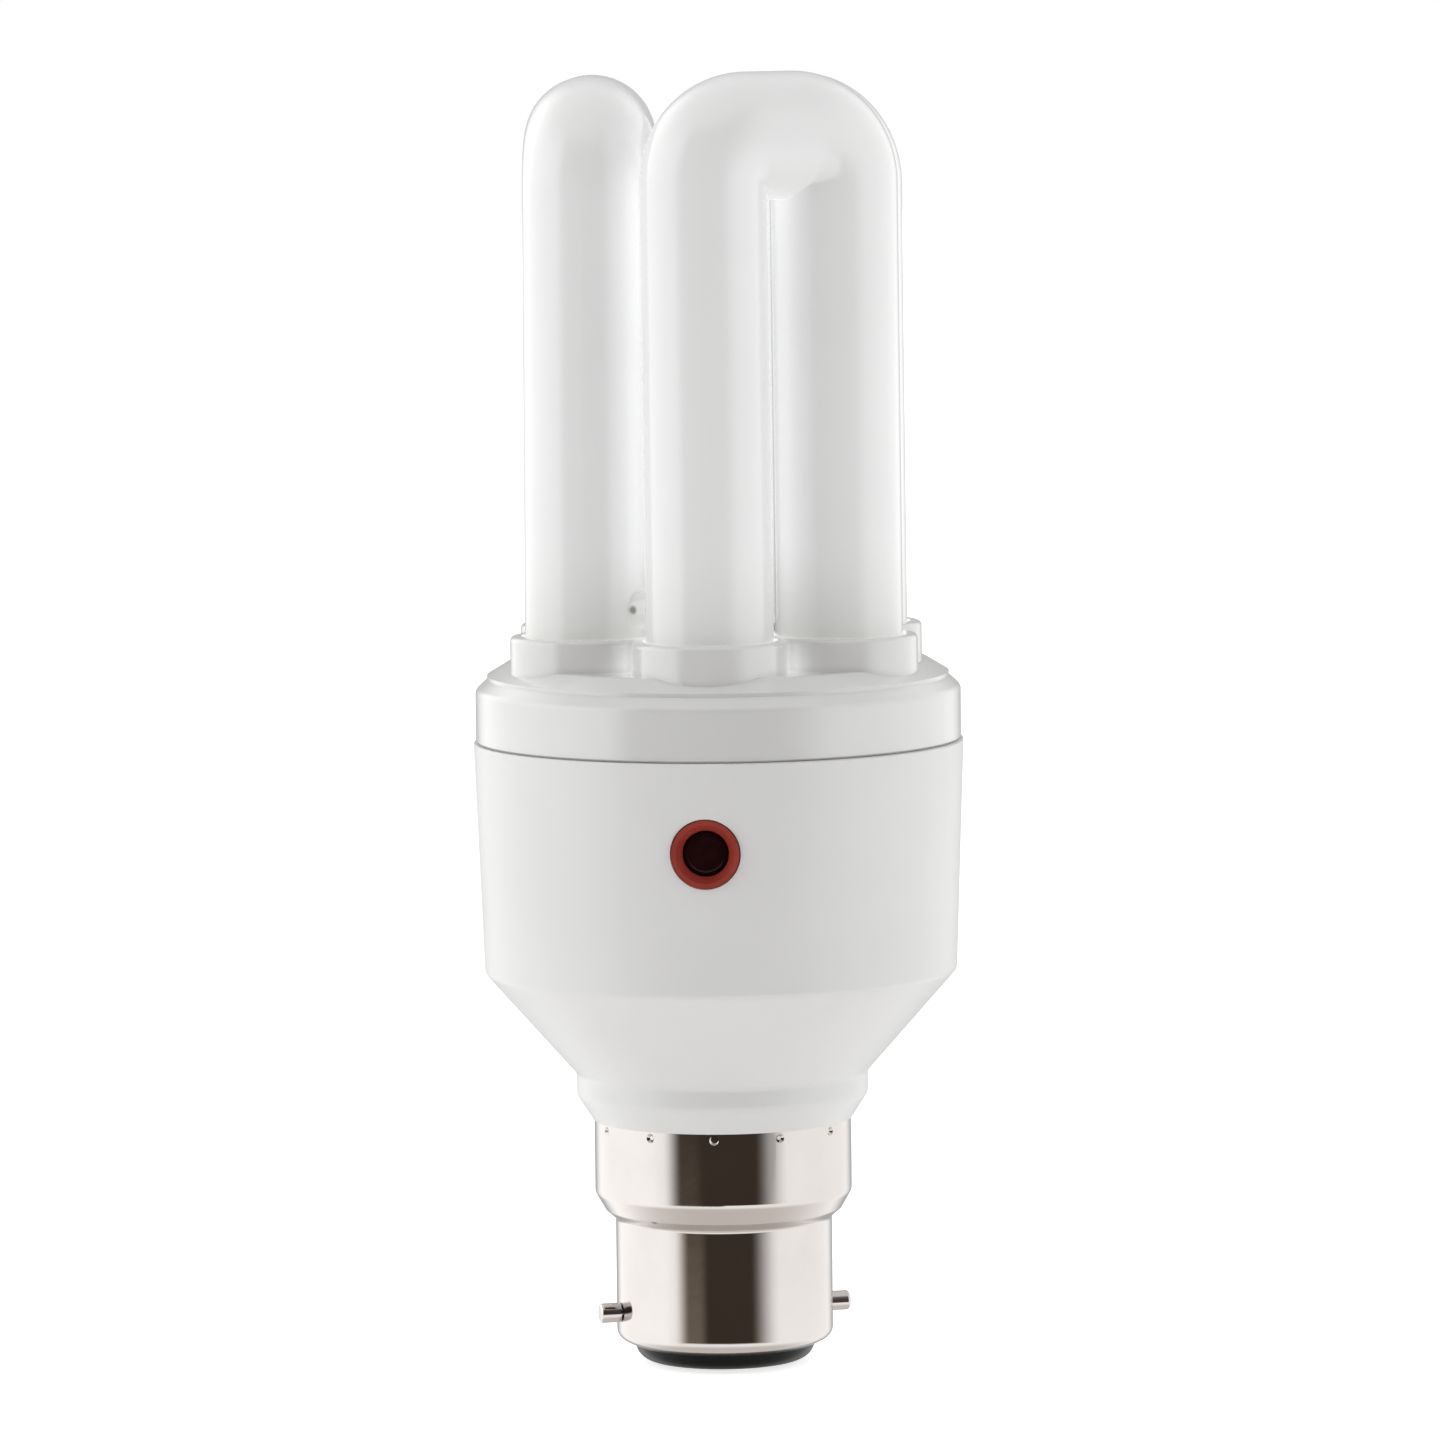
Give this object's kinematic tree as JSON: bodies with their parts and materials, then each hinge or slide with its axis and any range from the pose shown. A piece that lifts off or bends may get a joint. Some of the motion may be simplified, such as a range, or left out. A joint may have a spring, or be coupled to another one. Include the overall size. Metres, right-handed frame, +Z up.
{
  "type": "compact fluorescent bulb",
  "caption": "Compact fluorescent lamp: folded white glass tubes on a round white ballast housing with a dusk sensor, on a stepped bayonet cap.",
  "frame": {"origin": "centre of the cap's contact plane, the lowest point of the lamp", "axes": "+Z up along the lamp's axis from the cap to the tube bends, -Y towards the side with the light sensor"},
  "size_m": [0.0496, 0.0496, 0.131],
  "materials": {
    "white_glass": "gloss",
    "white_plastic": "satin",
    "red_plastic": "satin",
    "sensor_window": "gloss",
    "nickel_plate": "polished",
    "black_glass": "gloss",
    "solder": "satin",
    "board": "matte",
    "capacitor_sleeve": "gloss",
    "film_body": "gloss",
    "ferrite": "matte",
    "bobbin_plastic": "matte",
    "copper_winding": "gloss",
    "winding_red": "gloss",
    "winding_green": "gloss",
    "winding_yellow": "gloss",
    "black_epoxy": "matte",
    "resistor_body": "matte",
    "fuse_body": "matte",
    "lead_sleeve": "satin",
    "cement": "matte"
  },
  "bodies": {
    "root": {"discharge_tube": "white_glass", "top_cover": "white_plastic", "lower_housing": "white_plastic", "sensor_bezel": "red_plastic", "light_sensor": "sensor_window", "sensor_lead_1": "solder", "sensor_lead_2": "solder", "cap_shell": "nickel_plate", "cap_insulator": "black_glass", "contact_1": "solder", "contact_2": "solder", "bayonet_pin_1": "nickel_plate", "bayonet_pin_2": "nickel_plate", "circuit_board": "board", "bulk_capacitor": "capacitor_sleeve", "film_capacitor_1": "film_body", "film_capacitor_2": "film_body", "choke_core": "ferrite", "choke_bobbin": "bobbin_plastic", "choke_winding": "copper_winding", "ring_core": "ferrite", "ring_winding_1": "winding_red", "ring_winding_2": "winding_green", "ring_winding_3": "winding_yellow", "transistor_1": "black_epoxy", "transistor_2": "black_epoxy", "diode_1": "black_epoxy", "diode_2": "black_epoxy", "diode_3": "black_epoxy", "diode_4": "black_epoxy", "resistor_1": "resistor_body", "resistor_2": "resistor_body", "resistor_3": "resistor_body", "fuse_resistor": "fuse_body", "driver_chip": "black_epoxy", "mains_lead_1": "lead_sleeve", "mains_lead_2": "lead_sleeve", "tube_wire_1": "solder", "tube_wire_2": "solder", "tube_wire_3": "solder", "tube_wire_4": "solder", "wire_post_1": "solder", "wire_post_2": "solder", "wire_post_3": "solder", "wire_post_4": "solder", "tube_cement_1": "cement", "tube_cement_2": "cement", "tube_cement_3": "cement", "tube_cement_4": "cement", "tube_cement_5": "cement", "tube_cement_6": "cement"}
  },
  "joints": []
}
